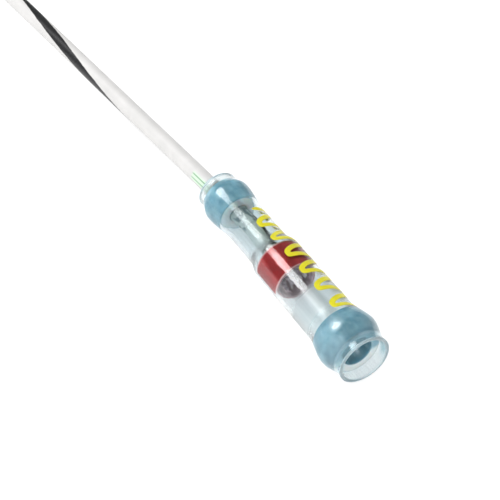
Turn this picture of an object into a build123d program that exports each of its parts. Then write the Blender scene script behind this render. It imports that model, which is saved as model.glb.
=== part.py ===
from build123d import *
import math
import os

# Solder seal wire connector: one clear shrink tube that holds two seal rings, a ring of solder
# and the end of a stranded lead. Millimetres, +Z up. The tube lies along X with its open mouth
# towards +X, and the origin is the centre of the cable seal's bore, where its straight wall begins.
# A depth is a distance back from the mouth's face, along the tube.

# The clear tube. It was expanded from one extrusion, so its wall holds the same area of plastic
# all along: it is thinnest where it is widest. Where its radius changes by less than the gentle
# step, its outline runs straight.
tube_length = 16.5
wall_area = 2.0
mouth_radius = 1.66
mouth_neck_radius = 1.625
mouth_neck_depth = 0.38
cable_crown_radius = 1.92
cable_crown_depth = 1.66
cable_bulb_length = 1.85
cable_body_radius = 1.57
solder_body_radius = 1.56
shoulder_length = 1.05
lead_body_radius = 1.33
lead_bulb_length = 2.55
lead_crown_radius = 1.60
lead_crown_inset = 1.3
lead_neck_radius = 1.34
lead_neck_inset = 0.38
lead_rim_radius = 1.36
gentle_step = 0.04

# The two seal rings and the solder ring inside the tube.
seal_length = 2.1
seal_melt = 0.42
seal_bore_bevel = 0.06
cable_seal_thickness = 0.8064
cable_seal_ahead = 0.96
lead_seal_ahead = 0.77
solder_depth = 7.05
solder_length = 2.25
solder_bore_radius = 1.16
solder_bevel = 0.05

# The lead: an insulated conductor of nineteen strands, in rings of one, six and twelve. The
# bare strands turn a little and fan out from the cover's end to the cable side of the solder.
# Each is so thin that six flats stand for its round surface.
lead_radius = 0.58
insulation_wall = 0.10
rings_of_strands = (1, 6, 12)
strand_gap = 0.006
strand_flats = 6
strand_fan = 1.75
strand_turn = 35.0
strand_stagger = 0.06
strand_end_gap = 0.02
strip_depth = 10.35
lead_inner_drop = -0.10
lead_bend_inset = 4.0
lead_exit_point = (-0.01, -0.27)

# The lead's free part: its route, by hand, as distances from the tube's rim, the way the lead
# leaves it, and places in Y and Z. The neat coil lies at its end.
free_route = [
    (4.16, -0.14, -0.60),
    (10.16, -0.37, -1.08),
    (16.16, -0.73, -1.32),
    (22.66, -1.28, -1.34),
    (33.86, -2.29, -1.34),
]
bend_share = 0.42
coil_middle_radius = 5.81
coil_slot_clearance = 0.1

cable_seal_front = cable_crown_depth - cable_seal_ahead
lead_seal_back = tube_length - lead_crown_inset + lead_seal_ahead
mouth_x = cable_seal_front + seal_bore_bevel
conductor_radius = lead_radius - insulation_wall


def at(depth):
    """X of a place inside the tube, from its depth behind the mouth's face."""
    return mouth_x - depth


def wall_inside(radius):
    """Inner radius of the tube where its outer radius is given, from the wall's fixed area."""
    return math.sqrt(radius**2 - wall_area / math.pi)


def tube_stations():
    """Depth and outer radius of each place where the tube's outline turns."""
    shoulder_top = solder_depth + solder_length
    return [
        (0.0, mouth_radius),
        (mouth_neck_depth, mouth_neck_radius),
        (cable_crown_depth, cable_crown_radius),
        (cable_crown_depth + cable_bulb_length, cable_body_radius),
        (solder_depth, solder_body_radius),
        (shoulder_top, solder_body_radius),
        (shoulder_top + shoulder_length, lead_body_radius),
        (tube_length - lead_crown_inset - lead_bulb_length, lead_body_radius),
        (tube_length - lead_crown_inset, lead_crown_radius),
        (tube_length - lead_neck_inset, lead_neck_radius),
        (tube_length, lead_rim_radius),
    ]


def ogee(start, end):
    """Smooth step between two points of an outline, level at both ends, or a straight line."""
    if abs(start[1] - end[1]) < gentle_step:
        return [Line(start, end)]
    middle = (start[0] + end[0]) / 2
    return [Bezier(start, (middle, start[1]), (middle, end[1]), end)]


def outline(points):
    """Chain of edges through the points of an outline, from the mouth back."""
    return [edge for a, b in zip(points, points[1:]) for edge in ogee(a, b)]


def turned_face(points):
    """Half section between an outline and the tube's axis."""
    first, last = points[0], points[-1]
    sides = [Line((first[0], 0), first), Line(last, (last[0], 0)), Line((last[0], 0), (first[0], 0))]
    return make_face(outline(points) + sides)


outer_points = [(at(depth), radius) for depth, radius in tube_stations()]
inner_points = [(x, wall_inside(radius)) for x, radius in outer_points]
hollow_section = turned_face(inner_points)


def box_section(front, back, low, high):
    """Half section between two depths and two radii."""
    middle = Pos(at((front + back) / 2), (low + high) / 2)
    return middle * Rectangle(back - front, high - low)


def turned(section):
    """Solid that a half section sweeps round the tube's axis."""
    return revolve(section, Axis.X, 360)


def make_tube():
    """The clear tube, cut square at both of its rims."""
    return turned(turned_face(outer_points) - hollow_section)


def ring_section(front, back, bore_radius, bevel):
    """Half section of a ring that fills the tube down to its bore, with a bevel at the bore."""
    section = hollow_section & box_section(front, back, bore_radius, cable_crown_radius)
    return chamfer([v for v in section.vertices() if v.Y < bore_radius + 1e-6], bevel)


def make_seal(front, crown_radius, bore_radius):
    """Seal ring, from the depth of its front face, with its outer edges melted away."""
    back = front + seal_length
    section = ring_section(front, back, bore_radius, seal_bore_bevel)
    melted = Rectangle(seal_length, 2 * wall_inside(crown_radius))
    melted = chamfer(melted.vertices(), seal_melt)
    return turned(section & Pos(at((front + back) / 2), 0) * melted)


def route_path(points):
    """Straight runs joined by arcs, each as large as its two runs allow."""
    vectors = [Vector(p) for p in points]
    radii = []
    for before, here, after in zip(vectors, vectors[1:], vectors[2:]):
        run_in, run_out = here - before, after - here
        half_turn = math.radians(run_in.get_angle(run_out) / 2)
        radii.append(bend_share * min(run_in.length, run_out.length) / math.tan(half_turn))
    print("bend radii", [round(r, 1) for r in radii])
    return FilletPolyline(*vectors, radius=radii)


def tube_along(points, radius):
    """Round solid along a route, with flat ends square to it."""
    path = route_path(points)
    start = Plane(origin=path @ 0, z_dir=path % 0)
    print("route length", round(path.length, 3))
    return sweep(start * Circle(radius), path=path)


# The lead inside the tube, from the cable side of the solder ring to the rim. It bends once,
# so that it already points along its first free run where it leaves the rim.
lead_exit = Vector(at(tube_length), *lead_exit_point)
run_route = [lead_exit] + [Vector(at(tube_length + far), y, z) for far, y, z in free_route]
first_free = run_route[1]
back_share = lead_bend_inset / (lead_exit.X - first_free.X)
inner_route = [
    Vector(at(solder_depth), 0, lead_inner_drop),
    lead_exit + (lead_exit - first_free) * back_share,
    lead_exit,
]
lead_inside = tube_along(inner_route, lead_radius)
lead_core = tube_along(inner_route, conductor_radius)


def behind_strip(solid):
    """The part of a solid that lies under the lead's cover."""
    return split(solid, Plane.YZ.offset(at(strip_depth)), keep=Keep.BOTTOM)


def strand_size():
    """Radius of one strand, so that the rings of strands just fill the conductor."""
    layers = len(rings_of_strands) - 1
    return (conductor_radius - strand_gap * (layers + 1)) / (2 * layers + 1)


def make_strand(ring, place, count):
    """One bare strand, from the cover's end to the solder's cable side."""
    front, bend = inner_route[0], inner_route[1]
    along = (bend - front).normalized()
    across, up = along.cross(Vector(0, 0, 1)).normalized(), Vector(0, 0, 1)
    bare_length = (strip_depth - solder_depth - strand_end_gap) / abs(along.X)
    cover_end = front + along * bare_length
    lay_radius = ring * (2 * strand_size() + strand_gap)
    angle = 2 * math.pi * place / count
    far_angle = angle + math.radians(strand_turn)
    start = cover_end + (across * math.cos(angle) + up * math.sin(angle)) * lay_radius
    fan = (across * math.cos(far_angle) + up * math.sin(far_angle)) * lay_radius * strand_fan
    line = front + fan - start
    length = line.length - strand_stagger * (1 + place % 3)
    section = RegularPolygon(strand_size(), strand_flats)
    return extrude(Plane(origin=start, z_dir=line) * section, length)


def make_conductor():
    """The conductor: one rod under the cover, and its bare strands, cut a little unevenly."""
    strands = [
        make_strand(ring, place, count) for ring, count in enumerate(rings_of_strands) for place in range(count)
    ]
    return Compound(children=[behind_strip(lead_core)] + strands)


def make_coil(last_run_start, last_run_end):
    """The coil's outer shape: a ring on the floor, with a slot for the lead's last run."""
    end = last_run_end
    ahead = (end - last_run_start).normalized()
    side = Vector(ahead.Y, -ahead.X, 0)
    lead = 2 * lead_radius
    outer_turn = coil_middle_radius + lead
    centre = end + side * outer_turn
    low, high = end.Z - lead_radius, end.Z + lead_radius + lead * math.sqrt(3) / 2
    section = Pos(coil_middle_radius, (low + high) / 2) * Rectangle(3 * lead, high - low)
    ring = revolve(Plane.XZ * section, Axis.Z, 360).moved(Location((centre.X, centre.Y, 0)))
    slot_width = lead + 2 * coil_slot_clearance
    slot_face = Plane(origin=end, x_dir=side, z_dir=ahead) * Rectangle(slot_width, 4 * lead)
    return ring - extrude(slot_face, -outer_turn)


cable_bore_radius = wall_inside(cable_crown_radius) - cable_seal_thickness
solder_section = ring_section(solder_depth, solder_depth + solder_length, solder_bore_radius, solder_bevel)
lead_seal_blank = make_seal(lead_seal_back - seal_length, lead_crown_radius, conductor_radius)

parts = {
    "clear_shrink_tube": make_tube(),
    "cable_end_seal": make_seal(cable_seal_front, cable_crown_radius, cable_bore_radius),
    "lead_end_seal": lead_seal_blank - lead_inside,
    "solder_ring": turned(solder_section),
    "lead_insulation": behind_strip(lead_inside - lead_core),
    "conductor_strands": make_conductor(),
    "lead_run": tube_along(run_route, lead_radius),
    "lead_coil": make_coil(run_route[-2], run_route[-1]),
}

os.makedirs("parts", exist_ok=True)
for name, shape in parts.items():
    export_step(shape, f"parts/{name}.step")
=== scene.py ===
# %% [markdown]
# # A solder seal wire connector
# The part is a clear shrink tube that holds two rings of blue sealing plastic, a ring of solder
# under a red flux coat, and one end of a stranded lead. A short cable is pushed into the open
# mouth, and heat shrinks, seals and solders everything at once. This lesson builds its looks as
# surfaces worked out with numpy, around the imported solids. One unit is a metre, so every size is
# written in millimetres and multiplied by MM.

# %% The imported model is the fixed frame
import math

import bpy
import numpy as np
from mathutils import Matrix, Vector


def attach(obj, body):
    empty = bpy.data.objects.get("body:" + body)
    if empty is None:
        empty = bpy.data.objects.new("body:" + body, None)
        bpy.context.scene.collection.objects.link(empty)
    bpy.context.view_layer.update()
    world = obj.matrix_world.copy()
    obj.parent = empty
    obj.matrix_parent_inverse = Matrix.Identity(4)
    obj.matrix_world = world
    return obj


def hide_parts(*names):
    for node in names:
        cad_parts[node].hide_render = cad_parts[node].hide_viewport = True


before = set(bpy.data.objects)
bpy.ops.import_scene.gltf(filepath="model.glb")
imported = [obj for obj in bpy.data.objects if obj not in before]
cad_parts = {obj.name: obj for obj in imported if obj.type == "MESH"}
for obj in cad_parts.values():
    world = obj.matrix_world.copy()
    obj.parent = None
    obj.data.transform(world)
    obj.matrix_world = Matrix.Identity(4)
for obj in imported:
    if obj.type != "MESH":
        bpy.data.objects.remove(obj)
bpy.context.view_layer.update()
MM = 0.001
print("nodes:", sorted(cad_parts))

# %% [markdown]
# ## The camera
# The camera stands where the picture was taken from: a little under half a right angle above the
# table, towards the open mouth. Two of its axes are written as numbers, because together with its
# place they fix the view, and the third is square to both. A long lens keeps the tube's two ends
# at nearly the same scale.

# %% The camera
CAMERA_PLACE = Vector((41.80, -31.80, 58.87)) * MM
CAMERA_RIGHT = Vector((0.51037, 0.85996, 0.0))
CAMERA_BACK = Vector((0.61543, -0.36524, 0.69846))
LENS = 100.8
SENSOR = 36.0

camera_data = bpy.data.cameras.new("camera")
camera_data.lens = LENS
camera_data.sensor_width = SENSOR
camera_data.clip_start = 1 * MM
camera = bpy.data.objects.new("camera", camera_data)
bpy.context.scene.collection.objects.link(camera)
camera_up = CAMERA_BACK.cross(CAMERA_RIGHT)
turn = Matrix((CAMERA_RIGHT, camera_up, CAMERA_BACK)).transposed()
camera.matrix_world = Matrix.Translation(CAMERA_PLACE) @ turn.to_4x4()
bpy.context.scene.camera = camera
print("camera elevation", round(math.degrees(math.asin(CAMERA_BACK.z)), 1))

# %% [markdown]
# ## The tube's outline
# The clear tube was expanded from one extruded pipe and then shrunk a little round what lies in
# it, so it bulges over each seal ring, runs straight over the solder and steps down on to the
# thinner lead. A list of stations gives its radius at some depths behind the mouth, and between
# two stations the radius eases from one to the other. The plastic's cross section keeps its area,
# so the wall is thinnest where the tube is widest. The outline comes first because the seals and
# the solder ring are shaped by its inner side.

# %% The tube's outline
TUBE_LENGTH = 16.5
WALL_AREA = 2.0
MOUTH_X = 0.76
STATIONS = [
    (0.0, 1.66),
    (0.38, 1.625),
    (1.66, 1.92),
    (3.51, 1.57),
    (7.05, 1.56),
    (9.3, 1.56),
    (10.35, 1.33),
    (12.65, 1.33),
    (15.2, 1.60),
    (16.12, 1.34),
    (16.5, 1.36),
]


def smooth_step(t):
    """Three t squared minus two t cubed: nought to one, level at both ends."""
    t = np.clip(t, 0.0, 1.0)
    return t * t * (3 - 2 * t)


def tube_outside(depth):
    """Outer radius at a depth: between two stations, first radius plus smooth step times the change."""
    depths, radii = np.array(STATIONS).T
    i = np.clip(np.searchsorted(depths, depth, side="right") - 1, 0, len(depths) - 2)
    t = (depth - depths[i]) / (depths[i + 1] - depths[i])
    return radii[i] + (radii[i + 1] - radii[i]) * smooth_step(t)


def tube_inside(depth):
    """Inner radius: root of the outer radius squared minus the wall's area over pi."""
    return np.sqrt(tube_outside(depth) ** 2 - WALL_AREA / math.pi)


print("wall at the mouth", round(float(tube_outside(0.0) - tube_inside(0.0)), 3), "mm")

# %% [markdown]
# ## The lead's route
# The lead is a flexible wire, so its middle line comes before its surface. It leaves the tube's
# far rim, sinks to the table and runs on out of the picture. The 150 mm that a ready-made
# connector of this kind has are put away as a small round coil just outside the view. A NURBS
# curve of order three, with the route's points as its control points, gives one smooth line
# without a corner. The coil's turns are more points of the same curve, worked out by a loop: each
# turn lies one diameter inside the one before, and the last climbs into the groove between them.

# %% The lead's route
LEAD_RADIUS = 0.58
LEAD_LENGTH = 150.0
LEAD_EXIT = (-15.74, -0.01, -0.27)
FREE_ROUTE = [
    (-19.90, -0.14, -0.60),
    (-25.90, -0.37, -1.08),
    (-31.90, -0.73, -1.32),
    (-38.40, -1.28, -1.34),
    (-49.60, -2.29, -1.34),
]
COIL_MIDDLE_RADIUS = 5.81
COIL_SPACING = 2 * LEAD_RADIUS * 1.02
TURN_POINTS = 20

# %% The coil's points
start, end = (np.array(p) for p in FREE_ROUTE[-2:])
ahead = (end - start) / np.linalg.norm(end - start)
side = np.array([ahead[1], -ahead[0], 0.0])
outer_turn = COIL_MIDDLE_RADIUS + 2 * LEAD_RADIUS
coil_centre = end + side * outer_turn


def coil_point(turns):
    """Place on the coil after some turns: centre plus radius times a direction that turns.

    On the floor the radius shrinks by one spacing a turn. From the second turn on the line
    stays at that turn's end radius and rolls up and outwards over the wire beneath it.
    """
    angle = 2 * math.pi * turns
    flat_turns = min(turns, 2.0)
    climb = float(smooth_step((turns - 2.0) / 0.22))
    lean = math.pi * (1.0 - climb * 2.0 / 3.0)
    radius = outer_turn - COIL_SPACING * flat_turns
    if turns > 2.0:
        radius += COIL_SPACING * (1.0 + math.cos(lean))
    height = COIL_SPACING * math.sin(lean) if turns > 2.0 else 0.0
    out = -side * math.cos(angle) + ahead * math.sin(angle)
    return coil_centre + out * radius + np.array([0.0, 0.0, height])


def curve_line(points, steps):
    """Points along a NURBS curve of order three, read from the mesh that it gives."""
    curve = bpy.data.curves.new("line", "CURVE")
    curve.dimensions = "3D"
    curve.resolution_u = steps
    spline = curve.splines.new("NURBS")
    spline.points.add(len(points) - 1)
    for point, place in zip(spline.points, points):
        point.co = (*place, 1.0)
    spline.order_u = 3
    spline.use_endpoint_u = True
    holder = bpy.data.objects.new("line", curve)
    mesh = bpy.data.meshes.new_from_object(holder)
    line = np.empty(len(mesh.vertices) * 3)
    mesh.vertices.foreach_get("co", line)
    bpy.data.objects.remove(holder)
    bpy.data.curves.remove(curve)
    bpy.data.meshes.remove(mesh)
    return line.reshape(-1, 3)


def line_length(line):
    """Sum of the distances between neighbouring points."""
    return float(np.linalg.norm(np.diff(line, axis=0), axis=1).sum())


def lead_points(turns):
    """Control points of the lead, with that many turns of coil at its end, in metres."""
    count = int(round(turns * TURN_POINTS))
    coil = [coil_point((k + 1) / TURN_POINTS) for k in range(count)]
    return [np.array(p) * MM for p in [LEAD_EXIT, *FREE_ROUTE, *coil]]


turns = 1.0
while line_length(curve_line(lead_points(turns), 4)) < LEAD_LENGTH * MM:
    turns += 1 / TURN_POINTS
lead_line = curve_line(lead_points(turns), 6)
print("turns", round(turns, 2), "length", round(line_length(lead_line) / MM, 1), "mm", len(lead_line))

# %% [markdown]
# ## From numbers to a mesh
# Every piece below is a grid of points with two parameters. One runs along the piece, the other
# round it. A helper turns such a grid into faces: the grid may close on itself in either
# direction, and each face corner gets a UV from the two parameters, so a pattern can follow the
# surface. The enclosed volume tells whether the faces look outwards, and if not, they are turned.

# %% A grid of points becomes a mesh
def signed_volume(points, quads):
    """Sum over the faces of one sixth of the triple product of each triangle's corners."""
    a, b, c, d = (points[quads[:, k]] for k in range(4))
    halves = np.einsum("ij,ij->i", a, np.cross(b, c)) + np.einsum("ij,ij->i", a, np.cross(c, d))
    return float(halves.sum() / 6)


def grid_quads(rows, columns, close_rows, close_columns):
    """Corner numbers of the faces between neighbouring rows and columns of a grid."""
    i = np.arange(rows if close_rows else rows - 1)[:, None]
    j = np.arange(columns if close_columns else columns - 1)[None, :]
    i2, j2 = (i + 1) % rows, (j + 1) % columns
    corners = [i * columns + j, i2 * columns + j, i2 * columns + j2, i * columns + j2]
    quads = np.stack([np.broadcast_to(c, (i.size, j.size)) for c in corners], axis=-1)
    return quads.reshape(-1, 4)


def corner_values(along, around):
    """UV of each face corner: the first parameter by row, the second by column."""
    rows = len(along) - 1
    columns = len(around) - 1
    i, j = np.meshgrid(np.arange(rows), np.arange(columns), indexing="ij")
    pairs = [(i, j), (i + 1, j), (i + 1, j + 1), (i, j + 1)]
    uv = np.stack([np.stack([along[a], around[b]], axis=-1) for a, b in pairs], axis=2)
    return uv.reshape(-1, 2)


def surface_object(name, points, along, around, close_rows=False, close_columns=True):
    """Mesh of a grid of points, rows by columns, whose parameters become its UV map.

    along and around have one value more than the grid has rows or columns where it closes. A
    stack of equal grids, one more dimension, becomes one mesh of several parts.
    """
    stack = points.reshape(-1, *points.shape[-3:])
    copies, rows, columns = stack.shape[:3]
    flat = stack.reshape(-1, 3)
    quads = grid_quads(rows, columns, close_rows, close_columns)
    uv = corner_values(np.asarray(along), np.asarray(around))
    uv = np.tile(uv, (copies, 1))
    quads = (np.arange(copies)[:, None, None] * rows * columns + quads).reshape(-1, 4)
    if signed_volume(flat - flat.mean(axis=0), quads) < 0:
        quads = quads[:, ::-1]
        uv = uv.reshape(-1, 4, 2)[:, ::-1].reshape(-1, 2)
    mesh = bpy.data.meshes.new(name)
    mesh.vertices.add(len(flat))
    mesh.vertices.foreach_set("co", flat.ravel())
    mesh.loops.add(quads.size)
    mesh.loops.foreach_set("vertex_index", quads.ravel())
    mesh.polygons.add(len(quads))
    mesh.polygons.foreach_set("loop_start", np.arange(0, quads.size, 4))
    mesh.uv_layers.new(name="UVMap").data.foreach_set("uv", uv.ravel())
    mesh.update(calc_edges=True)
    mesh.shade_smooth()
    piece = bpy.data.objects.new(name, mesh)
    bpy.context.scene.collection.objects.link(piece)
    print(name, len(quads) * 2, "triangles")
    return piece


def angles(count):
    """Equal angles round a full turn, without its end."""
    return np.arange(count) * 2 * math.pi / count


def turned_points(depths, radii, columns):
    """Grid of a profile carried round the tube's axis: x from the depth, y and z from the radius."""
    a = angles(columns)[None, :]
    x = np.broadcast_to(MOUTH_X - np.asarray(depths)[:, None], (len(depths), columns))
    r = np.asarray(radii)[:, None]
    return np.stack([x, r * np.cos(a), r * np.sin(a)], axis=-1) * MM


def dress(piece, node, material):
    """Puts a finished piece on the body, in the place of its solid."""
    piece.data.materials.append(material)
    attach(piece, "root")
    if node:
        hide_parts(node)
    print(piece.name, "stands for", node, "in", material.name)
    return piece


# %% [markdown]
# ## Material helpers
# Every finish is a small network of nodes, and short functions save most of the writing. The
# first three start a material and set the constants on the shader's own sockets, add a node, and
# add a sum or product. The others mark a place on the object with soft borders, or turn a pattern
# into a colour. Patterns read Object coordinates, which are metres here, so a Mapping node scales
# them up to the size of the detail.

# %% Materials and nodes
def new_material(name, **sockets):
    """Material with a Principled shader whose named sockets hold the given constants."""
    material = bpy.data.materials.new(name)
    material.use_nodes = True
    shader = material.node_tree.nodes["Principled BSDF"]
    for socket, value in sockets.items():
        shader.inputs[socket.replace("_", " ")].default_value = value
    return material, shader


def add_node(material, kind, links=(), **settings):
    """One node; settings are its properties, links are (input, value or output socket) pairs."""
    node = material.node_tree.nodes.new(kind)
    for name, value in settings.items():
        setattr(node, name, value)
    for socket, source in links:
        if isinstance(source, bpy.types.NodeSocket):
            material.node_tree.links.new(source, node.inputs[socket])
        else:
            node.inputs[socket].default_value = source
    return node


def maths(material, operation, *values):
    """Output of a Math node on some numbers or sockets."""
    return add_node(material, "ShaderNodeMath", list(enumerate(values)), operation=operation).outputs[0]


# %% Soft borders and places
def soft_band(material, value, low, high, edge):
    """One between low and high and nought outside, with both borders edge wide."""
    ranges = {"From Min": 0.0, "From Max": 1.0, "To Min": 0.0, "To Max": 1.0}
    steps = []
    for place, sign in ((low, 1.0), (high, -1.0)):
        distance = maths(material, "SUBTRACT", value, place)
        share = maths(material, "MULTIPLY_ADD", distance, sign / edge, 0.5)
        step = add_node(
            material,
            "ShaderNodeMapRange",
            [("Value", share), *ranges.items()],
            interpolation_type="SMOOTHSTEP",
        )
        steps.append(step.outputs[0])
    return maths(material, "MULTIPLY", *steps)


def axes_of(material):
    """The three Object coordinates of the shaded place, in metres."""
    place = add_node(material, "ShaderNodeTexCoord").outputs["Object"]
    return add_node(material, "ShaderNodeSeparateXYZ", [("Vector", place)]).outputs


def near_x(material, x, low_mm, high_mm, edge_mm):
    """One where x lies between two depths behind the mouth's face, in millimetres."""
    low, high = MOUTH_X - high_mm, MOUTH_X - low_mm
    return soft_band(material, x, low * MM, high * MM, edge_mm * MM)


def axis_distance(material, y, z):
    """Distance from the tube's axis: root of the sum of y squared and z squared."""
    squares = [maths(material, "POWER", value, 2.0) for value in (y, z)]
    return maths(material, "SQRT", maths(material, "ADD", *squares))


# %% Patterns, colours and relief
def noise(material, per_metre, detail=3.0, stretch=(1.0, 1.0, 1.0)):
    """Noise on Object coordinates, with so many features a metre along each axis."""
    place = add_node(material, "ShaderNodeTexCoord").outputs["Object"]
    scaled = add_node(
        material,
        "ShaderNodeMapping",
        [("Vector", place), ("Scale", tuple(per_metre * s for s in stretch))],
    )
    links = [("Vector", scaled.outputs[0]), ("Scale", 1.0), ("Detail", detail)]
    return add_node(material, "ShaderNodeTexNoise", links).outputs["Fac"]


def ranged(material, value, low, high):
    """Value from nought to one carried over to the range from low to high."""
    links = [("Value", value), ("To Min", low), ("To Max", high)]
    return add_node(material, "ShaderNodeMapRange", links).outputs[0]


def colour_ramp(material, factor, stops):
    """Colour that runs through the stops, each a place from nought to one and a colour."""
    node = add_node(material, "ShaderNodeValToRGB", [("Fac", factor)])
    elements = node.color_ramp.elements
    while len(elements) < len(stops):
        elements.new(0.5)
    for element, (place, colour) in zip(elements, stops):
        element.position = place
        element.color = (*colour, 1.0)
    return node.outputs["Color"]


def mixed(material, factor, first, second):
    """First colour where the factor is nought and second where it is one."""
    node = add_node(material, "ShaderNodeMix", data_type="RGBA")
    for name, value in (("Factor", factor), ("A", first), ("B", second)):
        if isinstance(value, bpy.types.NodeSocket):
            material.node_tree.links.new(value, node.inputs[name])
        elif isinstance(value, (int, float)):
            node.inputs[name].default_value = value
        else:
            node.inputs[name].default_value = (*value, 1.0)
    return node.outputs["Result"]


def connect(material, shader, **outputs):
    """Joins outputs to the shader's named sockets."""
    for socket, output in outputs.items():
        material.node_tree.links.new(output, shader.inputs[socket.replace("_", " ")])


def bumps(material, shader, height, depth_mm):
    """Gives the shader's normal a relief of that depth in millimetres."""
    links = [("Height", height), ("Distance", depth_mm * MM), ("Strength", 1.0)]
    connect(material, shader, Normal=add_node(material, "ShaderNodeBump", links).outputs[0])


# %% [markdown]
# ## The clear tube
# The tube is heat-shrunk plastic: clear with a faint blue tint, glossy, and slightly wavy where
# it closed on the pieces inside. Its surface is one closed profile carried round the axis: out
# along the outer side, round the cut lip, back along the inner side and round the other lip.
# A scissor cut leaves a rim not quite round, so a small wave of two and three lobes, which fades
# out behind the rims, is taken off the radius and the tube stays inside its solid. The tube casts
# no shadow, because a renderer would otherwise leave everything in it dark.

# %% The clear tube's surface
LIP_ROUND = 0.05
LIP_POWER = 0.35
LIP_STEPS = 9
OUT_OF_ROUND = 0.022
OUT_OF_ROUND_REACH = 1.2
LOBES = ((2, 0.6, 0.7), (3, 0.4, 2.1))
TUBE_ROWS = 240
TUBE_COLUMNS = 192


def lip(depth, outward):
    """Depths and radii round a cut end, from its outer to its inner edge.

    It is a half circle made squarer: the sine and the cosine are raised to a power below one.
    """
    a = np.linspace(0, math.pi, LIP_STEPS)[1:-1]
    outer, inner = float(tube_outside(depth)), float(tube_inside(depth))
    across = np.sign(np.cos(a)) * np.abs(np.cos(a)) ** LIP_POWER
    bulge = np.sin(a) ** LIP_POWER
    radii = (outer + inner) / 2 + across * (outer - inner) / 2
    return depth + outward * LIP_ROUND * (bulge - 1), radii


wall_depths = np.linspace(LIP_ROUND, TUBE_LENGTH - LIP_ROUND, TUBE_ROWS)
far_lip, near_lip = lip(TUBE_LENGTH, 1), lip(0.0, -1)
tube_depths = np.concatenate([wall_depths, far_lip[0], wall_depths[::-1], near_lip[0][::-1]])
tube_radii = np.concatenate(
    [tube_outside(wall_depths), far_lip[1], tube_inside(wall_depths[::-1]), near_lip[1][::-1]]
)
tube_points = turned_points(tube_depths, tube_radii, TUBE_COLUMNS)
fade = 1 - smooth_step(np.minimum(tube_depths, TUBE_LENGTH - tube_depths) / OUT_OF_ROUND_REACH)
lobes = sum(share * np.cos(count * angles(TUBE_COLUMNS) + phase) for count, share, phase in LOBES) - 1.0
swell = 1 + OUT_OF_ROUND * fade[:, None] * lobes[None, :] / 2
tube_points[..., 1:] *= swell[..., None]
tube = surface_object(
    "clear_shrink_tube_surface",
    tube_points,
    np.linspace(0, 1, len(tube_depths) + 1),
    np.linspace(0, 1, TUBE_COLUMNS + 1),
    close_rows=True,
)
tube.visible_shadow = False

# %% [markdown]
# ## The clear tube's plastic
# A shader with full transmission bends light as the real plastic does. What makes it look like
# this tube and not like glass are small changes from place to place. The cut rims are frosted,
# the short collars at both ends are hazy, and the top of the mouth's is bluer. On the near side
# the tint is lighter between the solder and the large seal, which is painted light, and darker
# along its edge behind the solder. A band of painted shade lies along the top, for the shadow
# that shows through the tube there. All of them have soft borders on Object coordinates: x for a
# place along the tube, and for the top band the angle round it, which is the arctangent of z and
# y. Fine streaks run lengthways, as extruded plastic has them. The gloss changes along the tube
# too: where the wall bends in behind the large seal and the solder it is rougher, so that it
# doesn't trap dark reflections of itself, and a thin coat over the mouth and the solder's open
# end gives the bright streaks there.

# %% Places on the clear tube
FROST_REACH = 0.09
COLLAR_REACH = 0.55
LEAD_COLLAR_REACH = 0.42
PAINTED_LIGHT_DEPTHS, LEAD_SIDE_DEPTHS = (3.3, 6.7), (9.9, 13.6)
PAINTED_SHADE_ANGLE, PAINTED_SHADE_WIDTH = 105.0, 26.0
clear, clear_shader = new_material("clear_shrunk_plastic", IOR=1.36, Coat_IOR=1.5, Coat_Roughness=0.07)
x, y, z = axes_of(clear)
frost = maths(
    clear,
    "ADD",
    near_x(clear, x, -1.0, FROST_REACH, 0.06),
    near_x(clear, x, TUBE_LENGTH - FROST_REACH, TUBE_LENGTH + 1.0, 0.06),
)
collar = maths(
    clear,
    "MULTIPLY",
    near_x(clear, x, -1.0, COLLAR_REACH, 0.35),
    soft_band(clear, z, -0.5 * MM, 3.0 * MM, 0.9 * MM),
)
lead_collar = near_x(clear, x, TUBE_LENGTH - LEAD_COLLAR_REACH, TUBE_LENGTH + 1.0, 0.3)
# Painted light: the near side between the solder and the large seal is tinted lighter.
painted_light_band = maths(
    clear,
    "MULTIPLY",
    near_x(clear, x, *PAINTED_LIGHT_DEPTHS, 0.9),
    soft_band(clear, y, -3.0 * MM, -0.3 * MM, 0.7 * MM),
)
lead_side = maths(
    clear,
    "MULTIPLY",
    near_x(clear, x, *LEAD_SIDE_DEPTHS, 0.8),
    soft_band(clear, y, -3.0 * MM, -1.15 * MM, 0.25 * MM),
)
turn_angle = maths(clear, "DEGREES", maths(clear, "ARCTAN2", z, y))
weave = ranged(clear, noise(clear, 500, 3.0, (0.6, 1.0, 1.0)), -10.0, 10.0)
# Painted shade: a darker band along the top, for the shadow that shows through the tube.
painted_shade_band = soft_band(
    clear,
    maths(clear, "ADD", turn_angle, weave),
    PAINTED_SHADE_ANGLE - PAINTED_SHADE_WIDTH / 2,
    PAINTED_SHADE_ANGLE + PAINTED_SHADE_WIDTH / 2,
    9.0,
)

# %% The clear tube's tints
CLEAR_TINT = (0.805, 0.872, 0.888)
PAINTED_LIGHT_TINT = (0.90, 0.965, 0.98)
LEAD_SIDE_TINT = (0.68, 0.76, 0.79)
PAINTED_SHADE_TINT = (0.62, 0.68, 0.68)
COLLAR_TINT = (0.42, 0.61, 0.67)
LEAD_COLLAR_TINT = (0.84, 0.89, 0.90)
FROST_TINT = (0.66, 0.79, 0.83)
STREAKS = [(0.4, (0.92, 0.93, 0.935)), (0.6, (1.0, 1.0, 1.0))]
# The painted light on the near side goes into the tint.
tint = mixed(clear, painted_light_band, CLEAR_TINT, PAINTED_LIGHT_TINT)
tint = mixed(clear, lead_side, tint, LEAD_SIDE_TINT)
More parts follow.
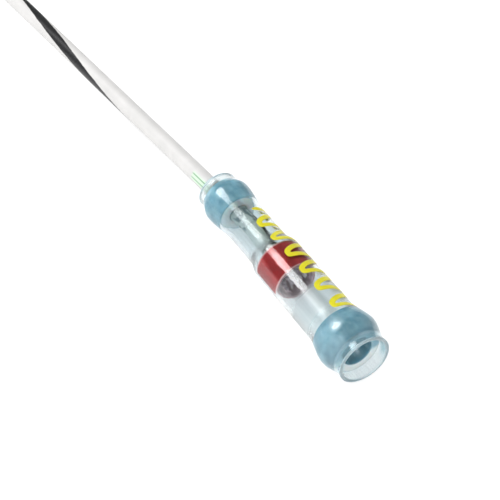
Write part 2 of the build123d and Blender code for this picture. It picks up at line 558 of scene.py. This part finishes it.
# The painted shade along the top goes into the tint.
tint = mixed(clear, painted_shade_band, tint, PAINTED_SHADE_TINT)
streaks = colour_ramp(clear, noise(clear, 7000, 3.0, (0.02, 1.0, 1.0)), STREAKS)
tint = add_node(clear, "ShaderNodeVectorMath", [(0, tint), (1, streaks)], operation="MULTIPLY").outputs[0]
for place, colour in ((collar, COLLAR_TINT), (lead_collar, LEAD_COLLAR_TINT), (frost, FROST_TINT)):
    tint = mixed(clear, place, tint, colour)

# %% The clear tube's haze and gloss
ROUGH_BANDS = ((3.2, 5.3, 1.0, 0.22), (9.4, 10.5, 0.4, 0.16))
COATED_BANDS = ((-1.0, 1.5, 0.5, 0.35), (5.3, 7.1, 0.4, 0.42))


def add_bands(material, x, value, bands):
    """Value plus the shares of the bands that x lies in; a band is low, high, edge and share."""
    for low, high, edge, share in bands:
        value = maths(material, "MULTIPLY_ADD", near_x(material, x, low, high, edge), share, value)
    return value


gloss = ranged(clear, noise(clear, 900, 4.0, (0.35, 1.0, 1.0)), 0.05, 0.13)
gloss = add_bands(clear, x, gloss, ROUGH_BANDS)
clearness = 1.0
for place, haze in ((collar, 0.17), (lead_collar, 0.22), (frost, 0.25)):
    clearness = maths(clear, "MULTIPLY_ADD", place, -haze, clearness)
connect(
    clear,
    clear_shader,
    Base_Color=tint,
    Coat_Weight=add_bands(clear, x, 0.05, COATED_BANDS),
    Roughness=maths(clear, "MULTIPLY_ADD", frost, 0.35, gloss),
    Transmission_Weight=clearness,
)
ripple = maths(clear, "MULTIPLY_ADD", noise(clear, 6000, 2.0), 0.06, noise(clear, 700, 2.0))
bumps(clear, clear_shader, ripple, 0.02)
dress(tube, "clear_shrink_tube", clear)

# %% [markdown]
# ## The seal rings
# Each seal is a ring of meltable plastic that was softened when the tube closed on it, so it
# wets the tube's inner wall and bulges a little at its ends. Air between the two would show as
# a silvery layer, so the ring's outer side lies a hair inside the tube's wall: then a ray that
# enters the wall meets blue plastic at once, up to the silhouette. The lead end's ring has its
# bore round the lead, which lies a little off the tube's axis there, so the lead's middle line
# inside the tube comes first.

# %% The lead's middle line inside the tube
BEND_POINT = (-11.74, 0.115, 0.047)
INNER_FRONT = (-6.29, 0.0, -0.10)
BEND_LENGTH = 3.4


def inner_line(x):
    """Y and Z of the lead inside the tube at x: two straight runs joined by a smooth change.

    The line through the front and the bend goes over into the line through the bend and the
    exit, by the smooth step over the bend's length.
    """
    front, bend, leave = (np.array(p) for p in (INNER_FRONT, BEND_POINT, LEAD_EXIT))
    share = smooth_step((bend[0] - x) / BEND_LENGTH + 0.5)[..., None]
    first = front + (x[..., None] - front[0]) / (bend[0] - front[0]) * (bend - front)
    second = bend + (x[..., None] - bend[0]) / (leave[0] - bend[0]) * (leave - bend)
    return (first * (1 - share) + second * share)[..., 1:]


# %% The seals' surfaces
SEAL_LENGTH = 2.1
SEAL_MELT = 0.06
SEAL_LIP = 0.05
SEAL_WETTING = 0.008
WALL_STEPS, FACE_STEPS, BORE_STEPS = 40, 26, 24
SEAL_COLUMNS = 160
CABLE_SEAL_FRONT = 0.70
CABLE_BORE_RADIUS = 0.94
LEAD_SEAL_FRONT = 13.87


def seal_profile(front, bore_radius):
    """Closed profile of a melted ring: outer side in the wall, two melted faces and the bore.

    A face falls back by the melt times (1 - share) to the power 2.5, where the share is the way
    run from wall to bore, and by the lip times the share's twelfth power at the bore's edge.
    """
    back = front + SEAL_LENGTH
    outer_depths = np.linspace(front + SEAL_MELT, back - SEAL_MELT, WALL_STEPS)
    outer_radii = tube_inside(outer_depths) + SEAL_WETTING
    share = np.linspace(0, 1, FACE_STEPS)[1:]
    fall = SEAL_MELT * (1 - share) ** 2.5 + SEAL_LIP * share**12
    back_radii = outer_radii[-1] + (bore_radius - outer_radii[-1]) * share
    front_radii = outer_radii[0] + (bore_radius - outer_radii[0]) * share
    bore_depths = np.linspace(back - SEAL_LIP, front + SEAL_LIP, BORE_STEPS)[1:-1]
    depths = [outer_depths, back - fall, bore_depths, (front + fall)[::-1]]
    radii = [outer_radii, back_radii, np.full(len(bore_depths), bore_radius), front_radii[::-1]]
    return np.concatenate(depths), np.concatenate(radii)


def seal_surface(name, front, bore_radius, follow_lead):
    """A ring whose bore sits on the tube's axis, or on the lead's own line where it follows that.

    A point between bore and wall is shifted by the share of the way that it lies from the wall.
    """
    depths, radii = seal_profile(front, bore_radius)
    points = turned_points(depths, radii, SEAL_COLUMNS)
    if follow_lead:
        shift = inner_line(MOUTH_X - depths)
        wall = tube_inside(depths)
        share = np.clip((wall - radii) / (wall - bore_radius), 0, 1)
        points[..., 1:] += (shift * share[:, None])[:, None, :] * MM
    along, around = np.linspace(0, 1, len(depths) + 1), np.linspace(0, 1, SEAL_COLUMNS + 1)
    return surface_object(name, points, along, around, close_rows=True)


# %% [markdown]
# ## The seals' plastic
# The blue plastic is translucent, and strong subsurface scattering stands for that. Red light
# gets half as far in it as blue light does. A mottle of three blues keeps it from looking
# painted, and a coat gives the highlights that show through the tube, a little broader on the
# large seal. The faces towards the mouth are lit through the tube: the small seal's face is pale,
# and so is the lower part of the large one's. The large seal's front edge and its bore, where
# light hardly gets, are darker.

# %% Places on the seals
FACE_REACH = 0.2
blue, blue_shader = new_material(
    "melted_blue_plastic",
    Roughness=0.24,
    IOR=1.5,
    Coat_IOR=1.7,
    Subsurface_Weight=0.8,
    Subsurface_Radius=(0.5, 0.8, 1.0),
    Subsurface_Scale=0.9 * MM,
)
x, y, z = axes_of(blue)
from_axis = axis_distance(blue, y, z)
below = soft_band(blue, z, -3.0 * MM, -0.25 * MM, 0.4 * MM)
in_bore = soft_band(blue, from_axis, -1.0 * MM, (CABLE_BORE_RADIUS + 0.02) * MM, 0.03 * MM)
at_cable_end = maths(blue, "GREATER_THAN", x, -5.0 * MM)

# %% The seals' blues
BLUE_MOTTLE = [(0.32, (0.125, 0.305, 0.39)), (0.5, (0.20, 0.41, 0.495)), (0.68, (0.28, 0.50, 0.585))]
FACE_PALE = (0.84, 0.97, 1.0)
FACE_BLUE = (0.24, 0.46, 0.55)
EDGE_BLUE = (0.16, 0.32, 0.385)
sealing_blue = colour_ramp(blue, noise(blue, 1400, 4.0), BLUE_MOTTLE)
at_edge = near_x(blue, x, CABLE_SEAL_FRONT - 0.3, CABLE_SEAL_FRONT + FACE_REACH, 0.3)
sealing_blue = mixed(blue, maths(blue, "MULTIPLY", at_edge, 0.8), sealing_blue, EDGE_BLUE)
cable_face = mixed(blue, below, FACE_BLUE, FACE_PALE)
for front, inner, outer, face_colour in (
    (CABLE_SEAL_FRONT, CABLE_BORE_RADIUS + 0.03, 1.47, cable_face),
    (LEAD_SEAL_FRONT, LEAD_RADIUS, 1.15, FACE_PALE),
):
    at_face = near_x(blue, x, front - 0.3, front + FACE_REACH, 0.12)
    ring_band = soft_band(blue, from_axis, inner * MM, outer * MM, 0.12 * MM)
    sealing_blue = mixed(blue, maths(blue, "MULTIPLY", at_face, ring_band), sealing_blue, face_colour)
connect(
    blue,
    blue_shader,
    Base_Color=mixed(blue, maths(blue, "MULTIPLY", in_bore, at_cable_end), sealing_blue, EDGE_BLUE),
    Coat_Weight=ranged(blue, at_cable_end, 0.65, 1.0),
    Coat_Roughness=ranged(blue, at_cable_end, 0.17, 0.24),
)
bumps(blue, blue_shader, noise(blue, 2600, 3.0), 0.02)

# %% Both seals in their places
cable_seal = seal_surface("cable_seal_ring", CABLE_SEAL_FRONT, CABLE_BORE_RADIUS, False)
lead_seal = seal_surface("lead_seal_ring", LEAD_SEAL_FRONT, LEAD_RADIUS, True)
dress(cable_seal, "cable_end_seal", blue)
dress(lead_seal, "lead_end_seal", blue)

# %% [markdown]
# ## The solder ring
# A short collar of solder lies in the middle, under a red coat of flux. It was pressed to its
# shape, so its edges are crisp. Its flux wets the tube's wall, except along the low near side,
# where a hair of air is left: the wall mirrors there and gives the ring a bright lower border.

# %% The solder ring's surface
SOLDER_FRONT = 7.05
SOLDER_LENGTH = 2.25
SOLDER_BORE_RADIUS = 1.16
SOLDER_GAP = 0.014
SOLDER_WETTING = 0.006
SOLDER_EDGE = 0.07
GAP_ANGLE = 226.0
GAP_HALF_ANGLE = 28.0
GAP_EASE = 7.0
SOLDER_COLUMNS = 192


def rounded_ring(front, back, inner, outer, edge, steps=6):
    """Closed profile of a plain collar whose four corners are quarter circles of one radius."""
    corners = [
        (front + edge, outer - edge, math.pi / 2, math.pi),
        (front + edge, inner + edge, math.pi, 1.5 * math.pi),
        (back - edge, inner + edge, 1.5 * math.pi, 2 * math.pi),
        (back - edge, outer - edge, 0.0, math.pi / 2),
    ]
    depths, radii = [], []
    for depth, radius, first, last in corners:
        a = np.linspace(first, last, steps)
        depths.append(depth + edge * np.cos(a))
        radii.append(radius + edge * np.sin(a))
    return np.concatenate(depths), np.concatenate(radii)


solder_back = SOLDER_FRONT + SOLDER_LENGTH
wall_radius = float(tube_inside(SOLDER_FRONT + SOLDER_LENGTH / 2))
flux_radius = wall_radius + SOLDER_WETTING
solder_depths, solder_radii = rounded_ring(
    SOLDER_FRONT, solder_back, SOLDER_BORE_RADIUS, flux_radius, SOLDER_EDGE
)
solder_points = turned_points(solder_depths, solder_radii, SOLDER_COLUMNS)
from_gap = np.abs(np.degrees(angles(SOLDER_COLUMNS)) - GAP_ANGLE)
apart = 1 - smooth_step((from_gap - GAP_HALF_ANGLE) / GAP_EASE)
shrink = 1 - apart * (SOLDER_GAP + SOLDER_WETTING) / wall_radius
solder_points[..., 1:] *= shrink[None, :, None]
solder = surface_object(
    "fluxed_solder_ring",
    solder_points,
    np.linspace(0, 1, len(solder_depths) + 1),
    np.linspace(0, 1, SOLDER_COLUMNS + 1),
    close_rows=True,
)

# %% [markdown]
# ## The flux coat
# The flux has flowed unevenly, so its red has darker drifts and its gloss varies. A glossy coat
# over a partly metallic base stands for flux on solder. The ring's ends are greyer, partly for the
# thinner flux there and partly as painted light, and along their outer corners a pale pink is a
# painted highlight. Inside the bore it is a dull purple grey. Distance from the axis tells the
# bore and the corners apart from the outer side.

# %% Places on the solder ring
red, red_shader = new_material(
    "red_flux_coat", Metallic=0.35, IOR=1.5, Coat_Weight=1.0, Coat_IOR=1.62, Coat_Roughness=0.08
)
x, y, z = axes_of(red)
from_axis = axis_distance(red, y, z)
in_bore = soft_band(red, from_axis, -1.0 * MM, (SOLDER_BORE_RADIUS + 0.03) * MM, 0.03 * MM)
# The outer corners of the ring's ends, where a pale pink highlight is painted.
painted_highlight_edge = soft_band(red, from_axis, (wall_radius - 0.05) * MM, 2 * wall_radius * MM, 0.04 * MM)
ring_ends = maths(
    red,
    "ADD",
    near_x(red, x, SOLDER_FRONT - 0.5, SOLDER_FRONT + 0.09, 0.05),
    near_x(red, x, solder_back - 0.13, solder_back + 0.5, 0.05),
)

# %% The flux coat's reds
RED_DRIFTS = [(0.3, (0.265, 0.0005, 0.002)), (0.5, (0.375, 0.001, 0.003)), (0.75, (0.50, 0.005, 0.006))]
BORE_GREYS = [(0.35, (0.50, 0.37, 0.40)), (0.7, (0.77, 0.60, 0.65))]
END_RED, PAINTED_HIGHLIGHT_PINK = (0.32, 0.12, 0.15), (0.90, 0.52, 0.52)
drift = noise(red, 1500, 4.0, (0.5, 1.0, 1.0))
outside_red = colour_ramp(red, drift, RED_DRIFTS)
# Greyer ends, partly painted light, with a painted highlight along their outer corners.
end_red_and_highlight = mixed(red, painted_highlight_edge, END_RED, PAINTED_HIGHLIGHT_PINK)
outside_red = mixed(red, maths(red, "MULTIPLY", ring_ends, 0.8), outside_red, end_red_and_highlight)
bore_grey = colour_ramp(red, noise(red, 5000, 4.0), BORE_GREYS)
connect(
    red,
    red_shader,
    Base_Color=mixed(red, in_bore, outside_red, bore_grey),
    Roughness=ranged(red, drift, 0.08, 0.18),
)
bumps(red, red_shader, noise(red, 4200, 3.0), 0.012)
dress(solder, "solder_ring", red)

# %% [markdown]
# ## The lead
# The lead's cover is thin white plastic with a dark stripe that winds round it once in about
# thirty millimetres. The part inside the tube and the free part are two pieces, because one
# stands for a fixed solid and the other is a cord, but they share one way of counting: U is the
# distance from the tube's rim in millimetres, below nought inside, and V is the share of a full
# turn from the top towards the near side. So stripe and finish run on from one to the other.
# Each piece is a pipe: its profile runs out along the cover and back along the cover's bore.

# %% A pipe along a line
INSULATION_WALL = 0.10
CORE_RADIUS = LEAD_RADIUS - INSULATION_WALL
LEAD_COLUMNS = 48
CUT_ROUND = 0.03


def line_frames(line):
    """Directions along a line, level across it, and upwards, for each of its points."""
    along = np.gradient(line, axis=0)
    along /= np.linalg.norm(along, axis=1, keepdims=True)
    across = np.cross(np.array([0.0, 0.0, 1.0]), along)
    across /= np.linalg.norm(across, axis=1, keepdims=True)
    return along, across, np.cross(along, across)


def round_line(line, radii, columns):
    """Grid of circles about a line: place plus radius times (cosine up, sine across)."""
    _, across, up = line_frames(line)
    a = angles(columns)[None, :, None]
    ring = np.cos(a) * up[:, None, :] + np.sin(a) * across[:, None, :]
    return line[:, None, :] + ring * np.asarray(radii)[:, None, None]


def pipe(name, line, first_u):
    """Closed pipe along a line: cover outside, rounded cut end, bore, and the other end."""
    places = np.concatenate([[0.0], np.cumsum(np.linalg.norm(np.diff(line, axis=0), axis=1))])
    outside = np.full(len(line), LEAD_RADIUS) * MM
    outside[[0, -1]] -= CUT_ROUND * MM
    inside = np.full(len(line), CORE_RADIUS) * MM
    cover_side = round_line(line, outside, LEAD_COLUMNS)
    bore_side = round_line(line, inside, LEAD_COLUMNS)
    points = np.concatenate([cover_side, bore_side[::-1]])
    distance = first_u + places / MM
    along = np.concatenate([distance, distance[::-1], distance[:1]])
    return surface_object(name, points, along, np.linspace(0, 1, LEAD_COLUMNS + 1), close_rows=True)


# %% Cover inside the tube, and the free cord
STRIP_X = -9.59
inner_x = np.concatenate(
    [[LEAD_EXIT[0]], np.linspace(LEAD_EXIT[0] + CUT_ROUND, STRIP_X - CUT_ROUND, 70), [STRIP_X]]
)
cover_line = np.concatenate([inner_x[:, None], inner_line(inner_x)], axis=1)[::-1] * MM
cover = pipe("lead_cover_inside", cover_line, -line_length(cover_line) / MM)
cord = pipe("lead_cord", lead_line, 0.0)
print("cover inside the tube", round(line_length(cover_line) / MM, 2), "mm")

# %% [markdown]
# ## The cover's colours
# The stripe is a band in V whose middle moves with U, so it winds round the lead, a little
# slower near the tube than further out. Its borders wander, as a printing wheel leaves them. A
# pale green field with two dark lines lies just outside the tube's rim. Inside the tube the white
# is darker and greener, painted shade for the light that the tube's wall filters, and dark specks
# lie on it in front of the small seal.

# %% The stripe
STRIPE_START = 278.0
STRIPE_SLOPE = -11.9
STRIPE_EASE = -0.045
STRIPE_EASE_END = 20.2
STRIPE_WIDTH = 65.0
STRIPE_BLACKS = [(0.35, (0.006, 0.006, 0.007)), (0.7, (0.016, 0.017, 0.019))]
white, white_shader = new_material("white_cover", Roughness=0.38, IOR=1.46)
uv = add_node(white, "ShaderNodeTexCoord").outputs["UV"]
distance, turn_share, _ = add_node(white, "ShaderNodeSeparateXYZ", [("Vector", uv)]).outputs
round_angle = maths(white, "MULTIPLY", turn_share, 360.0)
wander = maths(white, "MULTIPLY_ADD", noise(white, 1200, 2.0), 9.0, -4.5)
before_end = maths(white, "MINIMUM", maths(white, "SUBTRACT", distance, STRIPE_EASE_END), 0.0)
eased = maths(white, "MULTIPLY", maths(white, "POWER", before_end, 2.0), STRIPE_EASE)
straight = maths(white, "MULTIPLY_ADD", distance, STRIPE_SLOPE, STRIPE_START)
from_middle = maths(white, "SUBTRACT", round_angle, maths(white, "ADD", straight, eased))
from_middle = maths(white, "WRAP", maths(white, "ADD", from_middle, wander), 180.0, -180.0)
stripe = soft_band(white, from_middle, -STRIPE_WIDTH / 2, STRIPE_WIDTH / 2, 5.0)
stripe_black = colour_ramp(white, noise(white, 5000, 3.0), STRIPE_BLACKS)

# %% The specks and the green marks
MARK_START, MARK_END = 0.1, 2.3
MARK_LOW, MARK_HIGH = 33.0, 88.0
MARK_LINES = (44.0, 70.0)
SPECK_EDGES = [(0.47, (0.0, 0.0, 0.0)), (0.53, (1.0, 1.0, 1.0))]
specks = colour_ramp(white, noise(white, 3600, 3.0, (0.6, 1.0, 1.0)), SPECK_EDGES)
specks = maths(white, "MULTIPLY", soft_band(white, distance, -4.3, -2.9, 0.3), specks)
mark_length = soft_band(white, distance, MARK_START, MARK_END, 0.25)
mark_field = maths(white, "MULTIPLY", mark_length, soft_band(white, round_angle, MARK_LOW, MARK_HIGH, 6.0))
lines = [soft_band(white, round_angle, angle, angle + 6.0, 4.0) for angle in MARK_LINES]
mark_lines = maths(white, "MULTIPLY", mark_length, maths(white, "ADD", *lines))

# %% The cover's whites, one layer over the other
WHITES = [(0.3, (0.635, 0.63, 0.62)), (0.7, (0.70, 0.69, 0.68))]
SHADED_WHITE_IN_TUBE = (0.49, 0.55, 0.535)
SPECK_DARK = (0.07, 0.12, 0.14)
MARK_GREEN, LINE_GREEN = (0.66, 0.86, 0.66), (0.17, 0.31, 0.20)
cover_colour = colour_ramp(white, noise(white, 900, 4.0), WHITES)
for place, colour in (
    # Painted shade: inside the tube the cover is darker and greener.
    (soft_band(white, distance, -20.0, -1.6, 0.6), SHADED_WHITE_IN_TUBE),
    (maths(white, "MULTIPLY", specks, 0.85), SPECK_DARK),
    (mark_field, MARK_GREEN),
    (mark_lines, LINE_GREEN),
    (stripe, stripe_black),
):
    cover_colour = mixed(white, place, cover_colour, colour)
connect(white, white_shader, Base_Color=cover_colour)
bumps(white, white_shader, noise(white, 3000, 3.0, (0.2, 1.0, 1.0)), 0.008)
dress(cover, "lead_insulation", white)
dress(cord, "lead_run", white)
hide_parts("lead_coil")

# %% [markdown]
# ## The bare strands
# Nineteen tinned strands come out of the cover in rings of one, six and twelve. They keep some of
# their twist, open out like a brush and end a little unevenly in the solder ring, where the
# cable's shield will be pressed among them. Each strand is a thin tube about its own helix, all
# computed in one array. The same helices, shorter, show at the cord's cut end.

# %% The strands' surfaces
STRAND_RADIUS = 0.092
STRAND_GAP = 0.006
STRAND_WOBBLE = 0.05
RINGS = ((0, 1), (1, 6), (2, 12))
STRAND_ROWS = 40
STRAND_COLUMNS = 12
END_ROWS = 3.0
seeded = np.random.default_rng(19)


def strand_table():
    """Ring number and first angle of each strand."""
    return [(ring, 2 * math.pi * place / count) for ring, count in RINGS for place in range(count)]


def strands(name, line_of, fan, twist, uneven):
    """Stack of tubes: each follows a helix that widens along a middle line.

    line_of gives the middle line for shares from nought to one. The helix's radius is the
    ring's, times one plus the fan's share; its angle is the first angle plus the twist's share.
    The tube's radius falls to nought at both ends as a quarter circle does.
    """
    grids = []
    for ring, first_angle in strand_table():
        share = np.linspace(0, 1 - uneven * seeded.random(), STRAND_ROWS)
        middle = line_of(share)
        wobble = STRAND_WOBBLE * np.sin(math.pi * share * (1 + seeded.random())) * seeded.normal()
        lay = ring * (2 * STRAND_RADIUS + STRAND_GAP)
        radius = lay * (1 + fan * smooth_step(share)) + wobble * fan
        angle = first_angle + twist * share
        _, across, up = line_frames(middle)
        out = np.cos(angle)[:, None] * up + np.sin(angle)[:, None] * across
        row = np.linspace(0, 1, STRAND_ROWS) * (STRAND_ROWS - 1)
        from_end = np.clip(np.minimum(row, row[::-1]) / END_ROWS, 0, 1)
        tube_radius = STRAND_RADIUS * np.sqrt(np.clip(1 - (1 - from_end) ** 2, 1e-4, 1))
        grids.append(round_line(middle + radius[:, None] * out, tube_radius, STRAND_COLUMNS))
    along, around = np.linspace(0, 1, STRAND_ROWS), np.linspace(0, 1, STRAND_COLUMNS + 1)
    return surface_object(name, np.array(grids) * MM, along, around)


# %% The bare strands
HIDDEN_LENGTH = 0.4
STRAND_END_GAP = 0.05


def bare_line(share):
    """Middle line of the bare strands, from inside the cover to the ring's cable side."""
    x = STRIP_X - HIDDEN_LENGTH + share * (INNER_FRONT[0] - STRAND_END_GAP - STRIP_X + HIDDEN_LENGTH)
    return np.concatenate([x[:, None], inner_line(x)], axis=1)


bare = strands("bare_strands", bare_line, fan=0.85, twist=1.3, uneven=0.06)

# %% The strands at the cord's cut end
CUT_LENGTH = 2.0
TAIL_POINTS = 60
cut_tail = lead_line[-TAIL_POINTS:] / MM


def cut_line(share):
    """Middle line of the strands in the cord's last millimetres."""
    places = np.concatenate([[0.0], np.cumsum(np.linalg.norm(np.diff(cut_tail, axis=0), axis=1))])
    wanted = places[-1] - CUT_LENGTH + share * CUT_LENGTH
    return np.stack([np.interp(wanted, places, cut_tail[:, k]) for k in range(3)], axis=1)


cut_strands = strands("cut_end_strands", cut_line, fan=0.0, twist=0.5, uneven=0.04)

# %% [markdown]
# ## Tin, and the stain on it
# Tinned copper is a plain bright metal with small changes of tone and gloss. In the solder ring's
# open end the flux has stained the strands, so there the metal fades into a pale purple finish
# under a glossy coat.

# %% The strands' tin
TINS = [(0.3, (0.60, 0.58, 0.55)), (0.7, (0.84, 0.83, 0.80))]
STAINS = [(0.35, (0.78, 0.67, 0.73)), (0.65, (1.0, 0.91, 0.96))]
tin, tin_shader = new_material("tinned_strands", Coat_IOR=1.7, Coat_Roughness=0.15)
flux_stain = near_x(tin, axes_of(tin)[0], SOLDER_FRONT - 0.5, SOLDER_FRONT + 0.8, 0.5)
tin_tone = colour_ramp(tin, noise(tin, 2500, 3.0), TINS)
stained = colour_ramp(tin, noise(tin, 5000, 4.0), STAINS)
connect(
    tin,
    tin_shader,
    Base_Color=mixed(tin, flux_stain, tin_tone, stained),
    Metallic=maths(tin, "MULTIPLY_ADD", flux_stain, -0.7, 1.0),
    Roughness=ranged(tin, noise(tin, 6000, 2.0), 0.18, 0.4),
    Coat_Weight=flux_stain,
)
bumps(tin, tin_shader, noise(tin, 9000, 2.0, (0.15, 1.0, 1.0)), 0.004)
dress(bare, "conductor_strands", tin)
dress(cut_strands, None, tin)

# %% [markdown]

# %% [markdown]
# ## The printed wave
# A yellow wave with slanted flanks is printed along one side of the clear tube, so that its size
# can be told in a full bin. The ink is a film eight thousandths of a millimetre thick and not
# quite opaque. It is built as a ribbon: a narrow closed loop carried along the wave, with both
# of its sides laid on the tube's own outline, so it bends with it.

# %% The wave of ink
INK_START, INK_END = -2.0, -12.0
INK_PITCH = 1.6
INK_PHASE = 1.06
INK_WIDTH = 0.35
INK_MIDDLE_ANGLE = 57.6
INK_HALF_ANGLE = 38.0
INK_LOW, INK_HIGH = 0.003, 0.011
INK_ROWS = 900
INK_END_ROWS = 8.0
INK_SLANT = 0.16
INK_STEEPNESS = 0.12
across_top = (-0.42, -0.2, 0.0, 0.2, 0.42)
RIBBON = np.array(
    [(-0.5, 0.35), *((a, 1.0) for a in across_top), (0.5, 0.35), *((a, 0.0) for a in across_top[::-1])]
)

way = np.linspace(0, 1, INK_ROWS)
phase = 2 * math.pi * way * abs(INK_END - INK_START) / INK_PITCH - INK_PHASE
wave_x = INK_START + (INK_END - INK_START) * way + INK_SLANT * np.sin(phase)
swing = np.sin(phase) + INK_STEEPNESS * np.sin(3 * phase)
wave_arc = np.radians(INK_HALF_ANGLE) * swing
arc_radius = tube_outside(MOUTH_X - wave_x)
flat_wave = np.stack([wave_x, wave_arc * arc_radius], axis=1)
heading = np.gradient(flat_wave, axis=0)
heading /= np.linalg.norm(heading, axis=1, keepdims=True)
sideways = np.stack([-heading[:, 1], heading[:, 0]], axis=1)
ends = np.clip(np.minimum(way, 1 - way) * INK_ROWS / INK_END_ROWS, 0.02, 1) ** 0.5
offsets = RIBBON[None, :, :1] * INK_WIDTH * ends[:, None, None]
flat_ink = flat_wave[:, None, :] + offsets * sideways[:, None, :]
ink_radius = tube_outside(MOUTH_X - flat_ink[..., 0])
ink_angle = math.radians(INK_MIDDLE_ANGLE) + flat_ink[..., 1] / arc_radius[:, None]
ink_radius = ink_radius + INK_LOW + (INK_HIGH - INK_LOW) * RIBBON[None, :, 1]
ink_points = np.stack(
    [flat_ink[..., 0], ink_radius * np.cos(ink_angle), ink_radius * np.sin(ink_angle)], axis=-1
)
print_mark = surface_object("printed_wave", ink_points * MM, way, np.linspace(0, 1, len(RIBBON) + 1))

# %% The yellow ink
YELLOWS = [(0.3, (0.90, 0.82, 0.012)), (0.7, (0.96, 0.90, 0.03))]
yellow, yellow_shader = new_material("yellow_ink", Roughness=0.35, IOR=1.4)
connect(
    yellow,
    yellow_shader,
    Base_Color=colour_ramp(yellow, noise(yellow, 2000, 3.0), YELLOWS),
    Transmission_Weight=ranged(yellow, noise(yellow, 9000, 4.0), 0.5, 0.15),
)
dress(print_mark, None, yellow)

# %% [markdown]
# ## Floor, world and lamps
# The picture shows the object on plain white. The floor gives most of its white by emission,
# only to the camera and to rays that are mirrored or bent on their way, and adds a little plain
# reflection, which is where the object's shadow shows. A soft white world lights all sides. It
# gives its full light to surfaces that scatter it, and about half to mirrored and bent rays, so
# that the clear tube's edges show against it. Of two lamps, the key lamp stands high behind the
# lead's end and gives the crisp highlights, and a large one low on the near side fills the tube.

# %% The floor
FLOOR_Z = -1.92 * MM
FLOOR_HALF = 0.4
FLOOR_GLOW = 0.76
FLOOR_GREY = (0.4, 0.4, 0.4, 1.0)
corners = [(-1, -1), (1, -1), (1, 1), (-1, 1)]
floor_mesh = bpy.data.meshes.new("floor")
floor_mesh.from_pydata([(a * FLOOR_HALF, b * FLOOR_HALF, FLOOR_Z) for a, b in corners], [], [(0, 1, 2, 3)])
floor = bpy.data.objects.new("floor", floor_mesh)
bpy.context.scene.collection.objects.link(floor)
floor_white, floor_shader = new_material("floor_white", Base_Color=(0.8, 0.8, 0.8, 1.0), Roughness=0.9)
path = add_node(floor_white, "ShaderNodeLightPath").outputs
seen = maths(floor_white, "MAXIMUM", path["Is Camera Ray"], path["Is Glossy Ray"])
seen = maths(floor_white, "MAXIMUM", seen, path["Is Transmission Ray"])
glow = add_node(floor_white, "ShaderNodeEmission", [("Strength", FLOOR_GLOW)])
shaded = add_node(floor_white, "ShaderNodeBsdfDiffuse", [("Color", FLOOR_GREY)])
white_seen = add_node(floor_white, "ShaderNodeAddShader", [(0, glow.outputs[0]), (1, shaded.outputs[0])])
links = [(0, seen), (1, floor_shader.outputs[0]), (2, white_seen.outputs[0])]
floor_sum = add_node(floor_white, "ShaderNodeMixShader", links)
floor_end = floor_white.node_tree.nodes["Material Output"]
floor_white.node_tree.links.new(floor_sum.outputs[0], floor_end.inputs["Surface"])
floor_mesh.materials.append(floor_white)

# %% The world
WORLD_LIGHT = 0.72
WORLD_MIRRORED = 0.36
world = bpy.data.worlds.new("studio")
world.use_nodes = True
bpy.context.scene.world = world
sky = world.node_tree.nodes["Background"]
sky.inputs["Color"].default_value = (1.0, 1.0, 1.0, 1.0)
path = add_node(world, "ShaderNodeLightPath").outputs
scattered = maths(world, "GREATER_THAN", path["Diffuse Depth"], 0.5)
around = ranged(world, scattered, WORLD_MIRRORED, WORLD_LIGHT)
world.node_tree.links.new(maths(world, "MAXIMUM", around, path["Is Camera Ray"]), sky.inputs["Strength"])


# %% The lamps
LAMP_DISTANCE = 150


def lamp(name, direction, size, watts):
    """Round area lamp in a direction from the tube's middle, turned towards it."""
    data = bpy.data.lights.new(name, "AREA")
    data.shape = "DISK"
    data.size = size * MM
    data.energy = watts
    holder = bpy.data.objects.new(name, data)
    aim = Vector((MOUTH_X - TUBE_LENGTH / 2, 0.0, 0.0)) * MM
    way_out = Vector(direction).normalized()
    holder.location = aim + way_out * LAMP_DISTANCE * MM
    holder.rotation_euler = way_out.to_track_quat("Z", "Y").to_euler()
    bpy.context.scene.collection.objects.link(holder)
    print(name, size, "mm across,", watts, "W")


lamp("key_lamp", (-0.56, -0.345, 0.74), 76, 0.106)
lamp("fill_lamp", (0.35, -0.88, 0.30), 220, 0.10)
bpy.context.scene.view_settings.view_transform = "Standard"
